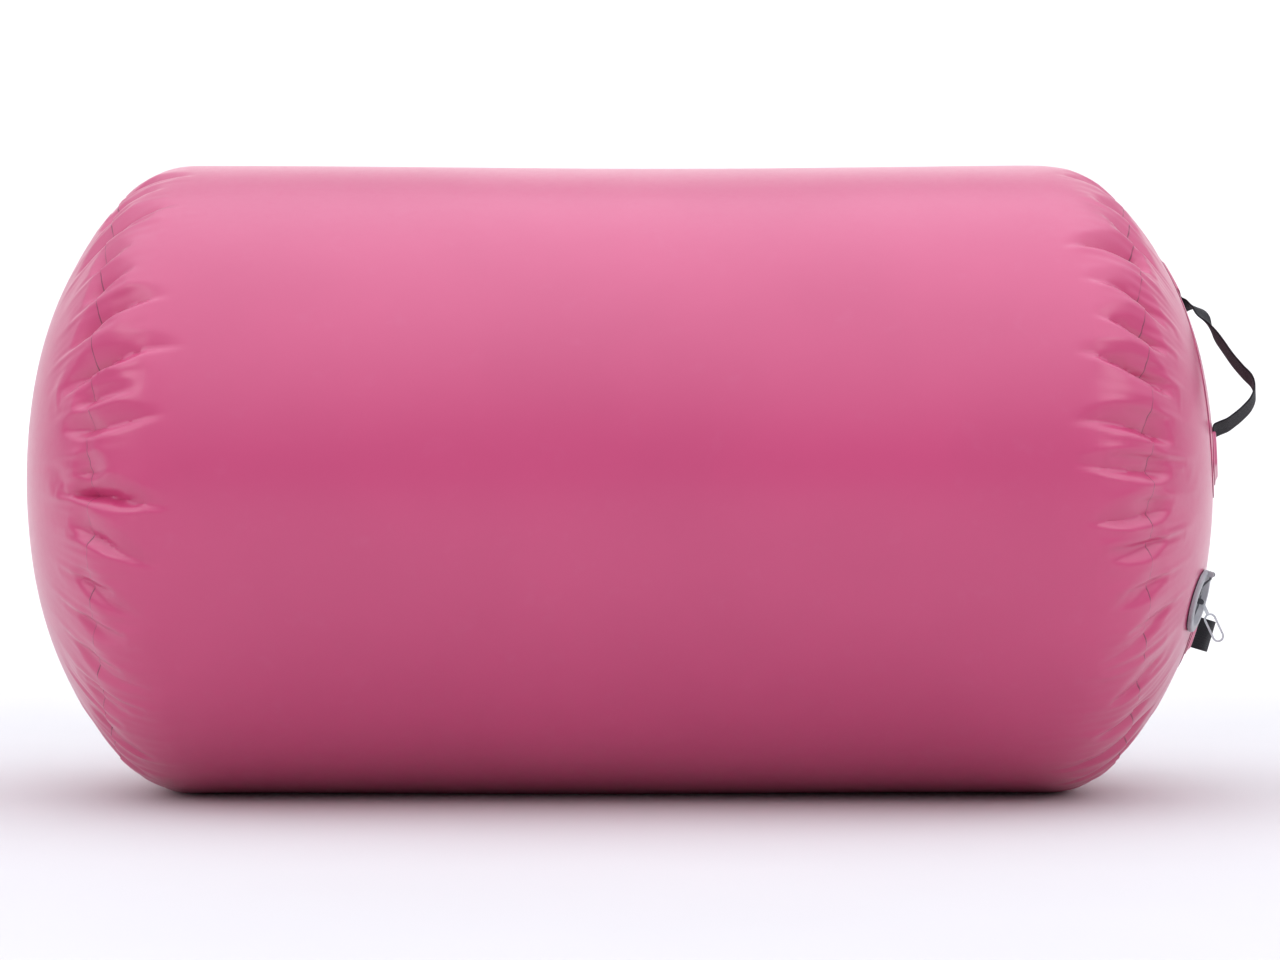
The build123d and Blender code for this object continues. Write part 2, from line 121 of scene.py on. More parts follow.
def meridian(run):
    """(x, radius, normal x, normal radius) at a run along the skin from the seam.

    Runs are negative on the wall and positive on the domed end."""
    run = np.asarray(run, float)
    lift = np.where(
        run < 0,
        np.minimum(seam_lift - run / shoulder_radius, math.pi / 2),
        np.where(
            run < flank_length,
            seam_lift - run / flank_radius,
            crown_lift - (run - flank_length) / CROWN_RADIUS,
        ),
    )
    bow = np.where(run < 0, shoulder_radius, np.where(run < flank_length, flank_radius, CROWN_RADIUS))
    centre_x = np.where(run < 0, STRAIGHT_HALF, np.where(run < flank_length, flank_x, crown_centre))
    centre_r = np.where(
        run < 0, ROLL_RADIUS - shoulder_radius, np.where(run < flank_length, flank_r, 0.0)
    )
    x = centre_x + bow * np.cos(lift) + np.minimum(run + shoulder_length, 0)
    radius = centre_r + bow * np.sin(lift)
    return x, radius, np.cos(lift), np.sin(lift)


# ---- Relaxing the puckered seam ----------------------------------------------------------
COLUMNS = 360  # round the roll while the skin relaxes
FINE_COLUMNS = 720  # round the finished mesh
ROW_STEP = 0.0052
WALL_ROWS = 32  # the skin moves this many rows each side of the seam
DOME_ROWS = 28
DOME_FADE = 0.045  # the end panel's spare cloth dies away over this run
MEAN_GAP = 8.2  # degrees between creases where none is listed
REACH_OUT = 1.22  # a crease dies away some way past its visible end
WALL_REACH, DOME_REACH = (0.040, 0.085), (0.024, 0.050)  # of the creases that are not listed
DEPTHS = (0.0050, 0.0072)
LOW_DEPTH = 0.45  # creases below the middle are this much of the others' depth
LOW_WHOLLY, LOW_FROM = -0.50, -0.10  # heights in radii where that is so, and where it starts
TIP_WIDTH, MIDDLE_WIDTH = 0.33, 0.67  # a crease's share of width at its tips, and added amid
TAPER = 1.3  # how soon a crease's depth dies away along it
START_WIDTH = 0.027
START_SHARPNESS, DART_SHARPNESS = 1.6, 1.2
RELAXED_SHARE = 0.42  # of the relaxed creasing that the finished skin keeps
DART_SHARE = 1.50  # of a starting crease's depth
DART_ABOVE, DART_BELOW = 0.027, 0.0095  # a dart's long upper slope and short lower one
WALL_CALM = (0.160, 0.080)  # the creasing has gone at the first and is whole from the second
DOME_CALM = (0.120, 0.050)
PRESSURE_STEP = 0.000008
RELAX_STEPS = 260
CARRY_ON = 0.90  # share of a point's last move that it keeps
SWEEPS = 2  # times the lengths are put right in each step
SLANT_SHARE = 0.25  # how firmly the slanting links hold
BENDING = ((2, 0.25), (4, 0.06))  # (columns spanned, how firmly) of the skin's stiffness

# the creases that face the front: degrees above the horizontal, millimetres into the wall
# and into the end panel, and how far each climbs as it runs into the wall
FRONT_CREASES = {
    "left_end": [
        (65, 46, 22, 0.10),
        (55, 62, 46, 0.05),
        (46, 30, 18, 0.00),
        (39, 36, 20, 0.12),
        (31, 64, 32, 0.20),
        (21, 78, 40, 0.20),
        (15, 46, 22, 0.05),
        (9.5, 66, 36, -0.02),
        (1.6, 24, 18, 0.05),
        (-3.1, 70, 26, -0.05),
        (-10.5, 64, 26, -0.25),
        (-21, 46, 24, -0.28),
        (-29, 34, 22, -0.10),
        (-38, 50, 30, -0.12),
        (-47, 32, 22, 0.00),
        (-57, 42, 26, -0.30),
    ],
    "right_end": [
        (71, 54, 22, 0.05),
        (62, 36, 20, 0.00),
        (54, 30, 36, 0.15),
        (47, 66, 18, -0.05),
        (36, 56, 32, 0.18),
        (28, 50, 26, 0.14),
        (19.5, 64, 32, 0.18),
        (9, 68, 28, 0.14),
        (1.3, 68, 26, 0.04),
        (-6.5, 58, 24, -0.08),
        (-13, 46, 22, -0.10),
        (-21, 40, 28, -0.18),
        (-30.5, 44, 44, -0.30),
        (-42, 34, 36, -0.25),
        (-52, 40, 24, -0.10),
    ],
}


def crease_list(rng, listed):
    """Every crease round one end, the listed ones first: (turn, wall end, dome end, lean,
    bend, depth, size of the gap before it)."""
    placed = [
        (math.pi - math.radians(rise), 1.0, wall * MM * REACH_OUT, dome * MM * REACH_OUT, lean)
        for rise, wall, dome, lean in listed
    ]
    lowest = math.radians(180 - listed[0][0])
    highest = math.radians(180 - listed[-1][0])
    free = 2 * math.pi - (highest - lowest)
    gaps = rng.uniform(0.6, 1.4, round(math.degrees(free) / MEAN_GAP))
    turns = highest + np.cumsum(gaps) / (gaps.sum() + 1) * free
    for turn, gap in zip(turns, gaps):
        wall_end = rng.uniform(*WALL_REACH) * (0.75 + 0.3 * gap)
        dome_end = rng.uniform(*DOME_REACH)
        placed.append((turn, gap, wall_end, dome_end, rng.normal(0, 0.10)))
    found = []
    for turn, gap, wall_end, dome_end, lean in placed:
        deep = rng.uniform(*DEPTHS) * gap**0.5 * (0.6 + wall_end / 0.15)
        deep *= LOW_DEPTH + (1 - LOW_DEPTH) * smooth(math.sin(turn), LOW_WHOLLY, LOW_FROM)
        found.append((turn, wall_end, dome_end, lean, rng.normal(0, 1.0), deep, gap))
    return found


def pressed_in(creases, runs, turns, radius, above, below, sharpness):
    """How far the creases press the skin in, in metres, with these widths either side."""
    depth = np.zeros((len(runs), len(turns)))
    along = runs[:, None]
    for centre, wall_end, dome_end, lean, bend, deep, gap in creases:
        across = (turns[None, :] - centre + math.pi) % (2 * math.pi) - math.pi
        across = across * radius[:, None] - lean * along - bend * along**2
        reach_here = np.where(along < 0, wall_end, dome_end)
        fade = np.clip(1 - (along / reach_here) ** 2, 0, 1) ** TAPER
        width = np.where(across < 0, above, below) * (TIP_WIDTH + MIDDLE_WIDTH * fade * gap)
        depth += deep * fade * np.clip(1 - np.abs(across / width), 0, 1) ** sharpness
    return depth


def draw_together(points, first, second, rest, share):
    """Moves pairs of points towards their rest distance."""
    gap = points[second] - points[first]
    length = np.sqrt((gap**2).sum(-1, keepdims=True))
    shift = gap * (share * 0.5 * (1 - rest / np.maximum(length, 1e-9)))
    points[first] += shift
    points[second] -= shift


def keep_profile(points, profile):
    """Shifts each row as a whole so that its mean stays on the roll's meridian."""
    radius = np.hypot(points[..., 1], points[..., 2])
    grow = 1 + (profile[1] - radius.mean(1))[:, None] / radius
    points[..., 1] *= grow
    points[..., 2] *= grow
    points[..., 0] += (profile[0] - points[..., 0].mean(1))[:, None]


def hold_round(points, rest_round):
    """Puts right the lengths between columns that lie side by side, pairs by turns."""
    for shift in (0, 1):
        points = np.roll(points, -shift, 1)
        draw_together(
            points,
            (slice(None), slice(0, None, 2)),
            (slice(None), slice(1, None, 2)),
            rest_round[:, None, None],
            1.0,
        )
        points = np.roll(points, shift, 1)
    return points


def hold_along(points, rest_along, rest_cross):
    """Puts right the straight and the slanting lengths between rows, in place."""
    rows = points.shape[0]
    for parity in (0, 1):
        last = rows - 1 - (rows - 1 - parity) % 2
        upper = slice(parity, last, 2)
        lower = slice(parity + 1, last + 1, 2)
        draw_together(points, (upper,), (lower,), rest_along, 1.0)
        rest = rest_cross[upper][:, None, None]
        for turn in (1, -1):
            turned = np.roll(points, turn, 1)
            gap = turned[lower] - points[upper]
            length = np.sqrt((gap**2).sum(-1, keepdims=True))
            change = gap * (SLANT_SHARE * (1 - rest / np.maximum(length, 1e-9)))
            points[upper] += change
            turned[lower] -= change
            points[lower] = np.roll(turned, -turn, 1)[lower]


def hold_stiff(points, rest_round):
    """The skin's stiffness, which keeps creases from folding sharply."""
    for span, share in BENDING:
        for shift in range(span):
            points = np.roll(points, -shift, 1)
            draw_together(
                points,
                (slice(None), slice(0, None, 2 * span)),
                (slice(None), slice(span, None, 2 * span)),
                span * rest_round[:, None, None],
                share,
            )
            points = np.roll(points, shift, 1)
    return points


def relax(points, profile, rest_round, rest_along, held):
    """Position-based relaxation of the inflated skin: rows run along it, columns round it."""
    previous = points.copy()
    start = points.copy()
    rest_cross = np.sqrt(rest_along**2 + ((rest_round[1:] + rest_round[:-1]) / 2) ** 2)
    for _ in range(RELAX_STEPS):
        across = np.roll(points, -1, 1) - np.roll(points, 1, 1)
        down = np.gradient(points, axis=0)
        outward = np.cross(across, down)
        outward /= np.linalg.norm(outward, axis=-1, keepdims=True)
        moved = points + CARRY_ON * (points - previous) + PRESSURE_STEP * outward
        previous = points
        points = moved
        for _ in range(SWEEPS):
            points = hold_round(points, rest_round)
            hold_along(points, rest_along, rest_cross)
            points = hold_stiff(points, rest_round)
            points[held] = start[held]
        keep_profile(points, profile)
    return points


def relaxed_end(name, seed):
    """How the relaxed skin departs from the meridian: (along x, outwards, turned), by row."""
    rng = np.random.default_rng(seed)
    runs = ROW_STEP * np.arange(-WALL_ROWS, DOME_ROWS + 1)
    turns = 2 * math.pi * np.arange(COLUMNS) / COLUMNS
    x, radius, normal_x, normal_r = meridian(runs)
    creases = crease_list(rng, FRONT_CREASES[name])
    depth = pressed_in(creases, runs, turns, radius, START_WIDTH, START_WIDTH, START_SHARPNESS)
    r = radius[:, None] - normal_r[:, None] * depth
    start = np.stack(
        [x[:, None] - normal_x[:, None] * depth, r * np.cos(turns), r * np.sin(turns)], -1
    )
    # the sheets were cut flat: the wall's edge and the round end panel are both too long for
    # the seam that pressure pulls in, and that spare length is what puckers
    flat_radius = np.where(runs < 0, ROLL_RADIUS, ROLL_RADIUS * (1 - runs / dome_length))
    fade = np.where(runs < 0, 1, np.exp(-((runs / DOME_FADE) ** 2)))
    spare = np.maximum(flat_radius / radius - 1, 0) * fade
    rest_round = radius * (1 + spare) * 2 * math.pi / COLUMNS
    held = np.zeros(len(runs), bool)
    held[[0, 1, -2, -1]] = True
    relaxed = relax(start, (x, radius), rest_round, ROW_STEP, held)
    r = np.hypot(relaxed[..., 1], relaxed[..., 2])
    turned = np.arctan2(relaxed[..., 2], relaxed[..., 1]) - turns
    turned = (turned + math.pi) % (2 * math.pi) - math.pi
    field = finer_columns(np.stack([relaxed[..., 0] - x[:, None], r - radius[:, None], turned], -1))
    field *= RELAXED_SHARE
    darts = pressed_in(creases, runs, fine_turns, radius, DART_ABOVE, DART_BELOW, DART_SHARPNESS)
    field[..., 0] -= DART_SHARE * normal_x[:, None] * darts
    field[..., 1] -= DART_SHARE * normal_r[:, None] * darts
    calm = smooth(-np.abs(runs), -WALL_CALM[0], -WALL_CALM[1])
    calm = np.where(runs < 0, calm, smooth(-runs, -DOME_CALM[0], -DOME_CALM[1]))
    return field * calm[:, None, None]


def finer_columns(field):
    """The same field on FINE_COLUMNS columns, band limited."""
    waves = np.fft.rfft(field, axis=1)
    return np.fft.irfft(waves, FINE_COLUMNS, axis=1) * FINE_COLUMNS / COLUMNS


def at_runs(field, runs):
    """The field on other rows, by cubic interpolation, and nothing past its ends."""
    rows = field.shape[0]
    place = np.clip(runs / ROW_STEP + WALL_ROWS, 0, rows - 1)
    low = np.minimum(place.astype(int), rows - 2)
    t = (place - low)[:, None, None]
    before = field[np.maximum(low - 1, 0)]
    first = field[low]
    second = field[low + 1]
    after = field[np.minimum(low + 2, rows - 1)]
    slope = (second - before) / 2
    slope_after = (after - first) / 2
    return (
        first * (1 + 2 * t) * (1 - t) ** 2
        + slope * t * (1 - t) ** 2
        + second * t**2 * (3 - 2 * t)
        + slope_after * t**2 * (t - 1)
    )


def smooth(value, low, high):
    """Rises from 0 at low to 1 at high with no corners."""
    t = np.clip((value - low) / (high - low), 0, 1)
    return t * t * (3 - 2 * t)


fine_turns = 2 * math.pi * np.arange(FINE_COLUMNS) / FINE_COLUMNS


def skin_rows(field, runs, inset):
    """Points (x, y, z from the axis) of the skin of a right-hand end at these runs."""
    x, radius, normal_x, normal_r = meridian(runs)
    moved = at_runs(field, runs)
    inset = np.broadcast_to(inset, runs.shape)
    radial = (radius - normal_r * inset)[:, None] + moved[..., 1]
    along = (x - normal_x * inset)[:, None] + moved[..., 0]
    turn = fine_turns[None, :] + moved[..., 2]
    return np.stack([along, radial * np.cos(turn), radial * np.sin(turn)], -1)


# ---- Mesh building -----------------------------------------------------------------------
def grid_faces(rows, columns):
    """Quads of a grid that closes on itself, wound for rows that run along +X round +X."""
    row, column = np.meshgrid(np.arange(rows - 1), np.arange(columns), indexing="ij")
    after = (column + 1) % columns
    corners = [row * columns + column, row * columns + after]
    corners += [(row + 1) * columns + after, (row + 1) * columns + column]
    return np.stack(corners, -1).reshape(-1, 4)


def make_object(name, points, faces, uv=None, masks=None, crease=50):
    """A mesh object with smooth shading, a UV per face corner and named point masks."""
    mesh = bpy.data.meshes.new(name)
    mesh.from_pydata(np.asarray(points).reshape(-1, 3).tolist(), [], [list(f) for f in faces])
    mesh.update()
    mesh.shade_smooth()
    mesh.set_sharp_from_angle(angle=math.radians(crease))
    if uv is not None:
        layer = mesh.uv_layers.new(name="UVMap")
        layer.data.foreach_set("uv", np.asarray(uv, np.float32).ravel())
    for mask, values in (masks or {}).items():
        attribute = mesh.attributes.new(mask, "FLOAT", "POINT")
        attribute.data.foreach_set("value", np.asarray(values, np.float32).ravel())
    obj = bpy.data.objects.new(name, mesh)
    bpy.context.collection.objects.link(obj)
    return obj


def grid_uv(along, round_, faces, columns):
    """UV per corner from row and column coordinates, unwrapped past the last column."""
    corners = faces.reshape(-1)
    column = corners % columns
    row = corners // columns
    wraps = np.repeat((faces % columns).max(1) - (faces % columns).min(1) > 1, 4)
    column = np.where(wraps & (column == 0), columns, column)
    return np.stack([along[row], column * round_ / columns], -1)


# ---- The roll's three skins --------------------------------------------------------------
WAIST_DEPTH = 0.0030
SHOULDER_SWELL = 0.0009
RIPPLE = 0.00022  # height of each broad unevenness of the wall
RIPPLES = 14
TAPE_LIFT, TAPE_HALF = 0.0006, 0.021  # the seam tape's band inside the lengthwise joint
FINE_RUN = 0.060  # the mesh's rows are twice as close within this run of the seam
near_seam = np.arange(0, FINE_RUN, ROW_STEP / 2)
past_seam = np.arange(FINE_RUN, ROW_STEP * WALL_ROWS, ROW_STEP)
half_length = shoulder_length + STRAIGHT_HALF
plain_wall = np.linspace(ROW_STEP * WALL_ROWS + 0.010, half_length, 14)
half_runs = -np.concatenate([near_seam, past_seam, plain_wall])


def make_wall(fields):
    """The wall from seam to seam, with the cut edge that laps over each end panel."""
    halves = []
    along = []
    for side, field in ((-1, fields["left_end"]), (1, fields["right_end"])):
        runs = np.concatenate([[-LAP, 0], half_runs])
        inset = np.concatenate([[SKIN, SKIN], np.zeros(len(half_runs))])
        points = skin_rows(field, runs, inset)
        points[..., 0] *= side
        halves.append(points)
        along.append(side * meridian(runs)[0])
    points = np.concatenate([halves[0], halves[1][::-1][1:]])
    along = np.concatenate([along[0], along[1][::-1][1:]])
    rng = np.random.default_rng(5)
    x = points[..., 0]
    turn = np.arctan2(points[..., 2], points[..., 1])
    inner = smooth(SEAM_X - np.abs(x), 0.01, 0.09)
    swell = SHOULDER_SWELL - WAIST_DEPTH * np.cos(math.pi * np.clip(x / 0.90, -0.5, 0.5)) ** 2
    swell = swell * smooth(np.sin(turn), -0.95, -0.6)
    for _ in range(RIPPLES):
        waves, bends = rng.integers(2, 11), rng.uniform(0.5, 4.0)
        swell += RIPPLE * np.cos(waves * turn + rng.uniform(0, 6.3)) * np.cos(
            bends * math.pi * x + rng.uniform(0, 6.3)
        )
    # the tape inside the lengthwise joint lifts a low band
    off_joint = np.abs((turn - SEAM_ANGLE + math.pi) % (2 * math.pi) - math.pi) * ROLL_RADIUS
    swell += TAPE_LIFT * smooth(-off_joint, -TAPE_HALF - 0.003, -TAPE_HALF + 0.003)
    swell *= inner
    points[..., 1] += swell * np.cos(turn)
    points[..., 2] += swell * np.sin(turn)
    points[..., 2] = np.maximum(points[..., 2] + AXIS_Z, 0)
    rows = points.shape[0]
    faces = grid_faces(rows, FINE_COLUMNS)[:, ::-1]
    uv = grid_uv(along, 2 * math.pi * ROLL_RADIUS, faces, FINE_COLUMNS)
    return make_object("wall_skin", points, faces, uv, {"seam": np.zeros(points.shape[:2])})


dome_runs = np.concatenate(
    [
        [-LAP, 0.0, 0.0006, 0.0016],
        np.arange(ROW_STEP / 2, FINE_RUN, ROW_STEP / 2),
        np.arange(FINE_RUN, dome_length - 0.006, 0.0050),
    ]
)
DARK_LINE = 0.0012  # the painted shade of the groove beside the wall's cut edge reaches this far either side of it


def dome_grid(field, side):
    """Points of one end panel, its apex last, and the mask of the painted shade in the groove at its
    seam.
    """
    points = skin_rows(field, dome_runs, END_INSET)
    points[..., 0] *= side
    points[..., 2] += AXIS_Z
    apex = [[side * (CROWN_X - END_INSET), 0, AXIS_Z]]
    # painted shade: the rows beside the wall's cut edge, which the material darkens
    painted_edge_shade = np.where(np.abs(dome_runs - 0.0006) < DARK_LINE, 1.0, 0.0)
    painted_edge_shade = np.repeat(painted_edge_shade, FINE_COLUMNS)
    return np.concatenate([points.reshape(-1, 3), apex]), np.append(painted_edge_shade, 0)


def dome_faces(side):
    rows = len(dome_runs)
    quads = grid_faces(rows, FINE_COLUMNS)
    first = (rows - 1) * FINE_COLUMNS
    column = np.arange(FINE_COLUMNS)
    fan = np.stack([first + column, first + (column + 1) % FINE_COLUMNS], -1)
    fan = np.concatenate([fan, np.full((FINE_COLUMNS, 1), rows * FINE_COLUMNS)], -1)
    turn_over = slice(None, None, -side)
    return [list(f[turn_over]) for f in quads] + [list(f[turn_over]) for f in fan]


def corner_plane_uv(points, faces):
    flat = np.concatenate([np.asarray(f) for f in faces])
    return points[flat][:, 1:]


valve_mount = next(m for m in frame["record"]["mounts"] if m["name"] == "valve_socket")
valve_normal = np.array(valve_mount["axis"])
SOCKET_MIDDLE = 0.008  # depth of the mount's point below the valve's seat
valve_seat = np.array(valve_mount["pos_m"]) + valve_normal * SOCKET_MIDDLE
HOLE_RADIUS = 0.0232
PRESSED_FROM, PRESSED_TO = 0.048, 0.030  # distances from the valve: first drawn in, then flat


def press_valve_seat(points):
    """Draws the dome flat under the valve's flange."""
    offset = points - valve_seat
    height = offset @ valve_normal
    away = np.linalg.norm(offset - height[:, None] * valve_normal, axis=1)
    pressed = smooth(-away, -PRESSED_FROM, -PRESSED_TO) * np.maximum(height, 0)
    return points - pressed[:, None] * valve_normal, away


def cut_valve_hole(points, faces, painted_edge_shade):
    """Takes out the faces in the valve's hole and draws its rim to an even circle."""
    points, away = press_valve_seat(points)
    kept = [f for f in faces if away[f].min() > HOLE_RADIUS - 0.0004]
    cut = np.unique(np.concatenate([f for f in faces if away[f].min() <= HOLE_RADIUS]))
    rim = cut[away[cut] > HOLE_RADIUS]
    offset = points[rim] - valve_seat
    height = (offset @ valve_normal)[:, None]
    flat = offset - height * valve_normal
    points[rim] = valve_seat + flat / away[rim][:, None] * HOLE_RADIUS + height * valve_normal
    used = np.unique(np.concatenate(kept))
    renumber = np.full(len(points), -1)
    renumber[used] = np.arange(len(used))
    return points[used], [list(renumber[f]) for f in kept], painted_edge_shade[used]


def make_end(name, field, side):
    points, painted_edge_shade = dome_grid(field, side)
    faces = dome_faces(side)
    if side > 0:
        points, faces, painted_edge_shade = cut_valve_hole(points, faces, painted_edge_shade)
    return make_object(name, points, faces, corner_plane_uv(points, faces), {"seam": painted_edge_shade})


fields = {"left_end": relaxed_end("left_end", 11), "right_end": relaxed_end("right_end", 23)}
wall = make_wall(fields)
left_end = make_end("left_end_skin", fields["left_end"], -1)
right_end = make_end("right_end_skin", fields["right_end"], 1)
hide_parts("wall_panel")
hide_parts("left_end_panel")
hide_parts("right_end_panel")


# ---- Pieces welded to the dome -----------------------------------------------------------
def dome_x(radius, inset):
    """X of the right-hand domed end at a distance from the axis."""
    in_crown = radius < (CROWN_RADIUS - inset) * math.sin(crown_lift)
    crown = crown_centre + np.sqrt((CROWN_RADIUS - inset) ** 2 - np.minimum(radius, 0.3) ** 2)
    flank = flank_x + np.sqrt(
        np.maximum((flank_radius - inset) ** 2 - (radius - flank_r) ** 2, 1e-9)
    )
    return np.where(in_crown, crown, flank)


def dome_normal(y, z):
    radius = np.hypot(y, z)
    in_crown = radius < CROWN_RADIUS * math.sin(crown_lift)
    along = dome_x(radius, 0) - np.where(in_crown, crown_centre, flank_x)
    across = radius - np.where(in_crown, 0, flank_r)
    normal = np.stack([along, across * y / radius, across * z / radius], -1)
    return normal / np.linalg.norm(normal, axis=-1, keepdims=True)


class HandleFrame:
    """Local frame on the dome: u along the strap's chord, w across it, v outwards."""

    def __init__(self, centre, lean):
        y, z = centre
        self.v = dome_normal(np.float64(y), np.float64(z))
        chord = np.array([0, math.cos(lean), math.sin(lean)])
        chord = chord - self.v * (chord @ self.v)
        self.u = chord / np.linalg.norm(chord)
        self.w = np.cross(self.v, self.u)
        self.origin = np.array([dome_x(np.hypot(y, z), 0), y, z + AXIS_Z])

    def point(self, u, w, v):
        u, w, v = np.broadcast_arrays(u, w, v)
        return (
            self.origin
            + u[..., None] * self.u
            + w[..., None] * self.w
            + v[..., None] * self.v
        )

    def fall(self, u, w):
        """Height v of the dome's outside at (u, w)."""
        u, w = np.broadcast_arrays(np.asarray(u, float), np.asarray(w, float))
        v = np.zeros(u.shape)
        for _ in range(12):
            at = self.point(u, w, v)
            radius = np.hypot(at[..., 1], at[..., 2] - AXIS_Z)
            v = v - (at[..., 0] - dome_x(radius, 0)) / self.v[0]
        return v

    def lying(self, u, w, lift):
        """Points at a height above the dome's outside, measured square to the dome."""
        at = self.point(u, w, self.fall(u, w))
        normal = dome_normal(at[..., 1], at[..., 2] - AXIS_Z)
        return at + np.asarray(lift)[..., None] * normal


def disc_grid(rings, segments, shape, lift, lower, frame_):
    """A thin closed sheet on the dome: shape(share, turn) gives (u, w), lift its height."""
    turn = 2 * math.pi * np.arange(segments) / segments
    tops = []
    for share in rings:
        u, w = shape(share, turn)
        tops.append(frame_.lying(u, w, lift(u, w, share)))
    u, w = shape(rings[-1], turn)
    tops.append(frame_.lying(u, w, np.full(segments, lower)))
    count = len(tops)
    u, w = shape(0.0, turn[:1])
    middle = frame_.lying(u, w, lift(u, w, 0.0))
    under = frame_.lying(u, w, np.full(1, lower))
    points = np.concatenate([np.stack(tops).reshape(-1, 3), middle, under])
    faces = [list(f) for f in grid_faces(count, segments)]
    column = np.arange(segments)
    after = (column + 1) % segments
    hub, base = count * segments, count * segments + 1
    last = (count - 1) * segments
    faces += [[hub, int(b), int(a)] for a, b in zip(column, after)]
    faces += [[last + int(a), last + int(b), base] for a, b in zip(column, after)]
    return points, [f[::-1] for f in faces]


def edge_mask(rings, segments):
    """Marks the cut edge of a disc_grid sheet for painted shade, which shows as a dark line."""
    mask = np.zeros((len(rings) + 1) * segments + 2)
    mask[(len(rings) - 1) * segments : (len(rings) + 1) * segments] = EDGE_SHADE
    return {"seam": mask}


def local_uv(points, faces, frame_):
    flat = points[np.concatenate([np.asarray(f) for f in faces])] - frame_.origin
    return np.stack([flat @ frame_.u, flat @ frame_.w], -1)


def make_base_patch(name, frame_, half):
    """The oval patch that spreads the handle's pull over the dome."""
    rings = np.concatenate([np.linspace(0.06, 0.97, 24), [0.985, 0.994, 1.0]])

    def shape(share, turn):
        return half[0] * share * np.cos(turn), half[1] * share * np.sin(turn)

    def lift(u, w, share):
        edge = smooth(share, 0.990, 1.0)
        weld = 0.00018 * np.exp(-(((share - 0.93) / 0.012) ** 2))
        return np.full(u.shape, -0.00045 * edge - weld)

    points, faces = disc_grid(rings, PATCH_SEGMENTS, shape, lift, -END_INSET - 0.0002, frame_)
    uv = local_uv(points, faces, frame_)
    return make_object(name, points, faces, uv, edge_mask(rings, PATCH_SEGMENTS))


def make_cover(name, frame_, side):
    """The rounded patch drawn down over the strap's welded end."""
    rings = np.concatenate([np.linspace(0.05, 0.94, 22), [0.965, 0.985, 1.0]])
    middle = side * (ROOT_HALF + COVER_START + COVER_LENGTH / 2)
    half_u, half_w = COVER_LENGTH / 2, COVER_WIDTH / 2
    power = 4.2  # squareness of the rounded rectangle

    def shape(share, turn):
        reach_out = (np.abs(np.cos(turn)) ** power + np.abs(np.sin(turn)) ** power) ** (-1 / power)
        return (
            middle + half_u * share * reach_out * np.cos(turn),
            half_w * share * reach_out * np.sin(turn),
        )

    def lift(u, w, share):
        beside = smooth(-np.abs(w), -0.0205, -0.0145)
        outward = side * u
        past = smooth(-outward, -(ROOT_HALF + TAB_LENGTH + 0.0055), -(ROOT_HALF + TAB_LENGTH - 0.001))
        padded = (WEBBING + 0.0006) * beside * past
        return SKIN + padded - 0.0004 * smooth(share, 0.97, 1.0)

    points, faces = disc_grid(rings, COVER_SEGMENTS, shape, lift, -0.0001, frame_)
    uv = local_uv(points, faces, frame_)
    return make_object(name, points, faces, uv, edge_mask(rings, COVER_SEGMENTS))


def spline_through(points, samples):
    """A smooth line through points: a cubic with the slopes of its neighbours, by length."""
    points = np.asarray(points, float)
    step = np.linalg.norm(np.diff(points, axis=0), axis=1)
    at = np.concatenate([[0], np.cumsum(step)])
    slope = np.gradient(points, at, axis=0)
    where = np.linspace(0, at[-1], samples)
    low = np.clip(np.searchsorted(at, where, side="right") - 1, 0, len(step) - 1)
    span = step[low][:, None]
    t = ((where - at[low]) / step[low])[:, None]
    return (
        points[low] * (1 + 2 * t) * (1 - t) ** 2
        + slope[low] * span * t * (1 - t) ** 2
        + points[low + 1] * t**2 * (3 - 2 * t)
        + slope[low + 1] * span * t**2 * (t - 1)
    )


def strap_section():
    """Outline of flat webbing with rounded edges: (across, up) points, anticlockwise."""
    half = WEBBING_WIDTH / 2 - WEBBING / 2
    across = np.linspace(-half, half, 13)
    up = WEBBING / 2
    arc = np.radians([60, 30, 0, -30, -60])
    right = [(half + up * math.cos(a), up * math.sin(a)) for a in arc]
    left = [(-x, -y) for x, y in right]
    top = [(x, up) for x in across]
    bottom = [(x, -up) for x in across[::-1]]
    return np.array(top + right + bottom + left)


def strap_line(frame_, bow, lying_height):
    """The strap's middle line: (along the chord, outwards), from one cut end to the other."""
    line = []
    for u in np.linspace(-ROOT_HALF - TAB_LENGTH, -ROOT_HALF - 0.004, 9):
        line.append((u, frame_.fall(u, 0.0) + lying_height))
    root_v = float(frame_.fall(-ROOT_HALF, 0.0))
    line += [(-ROOT_HALF - past, root_v + lying_height + up) for past, up in ROOT_BEND]
    line += [(u * MM, v * MM) for u, v in bow]
    root_v = float(frame_.fall(ROOT_HALF, 0.0))
    line += [(ROOT_HALF + past, root_v + lying_height + up) for past, up in ROOT_BEND[::-1]]
    for u in np.linspace(ROOT_HALF + 0.004, ROOT_HALF + TAB_LENGTH, 9):
        line.append((u, frame_.fall(u, 0.0) + lying_height))
    return spline_through(line, STRAP_ROWS)


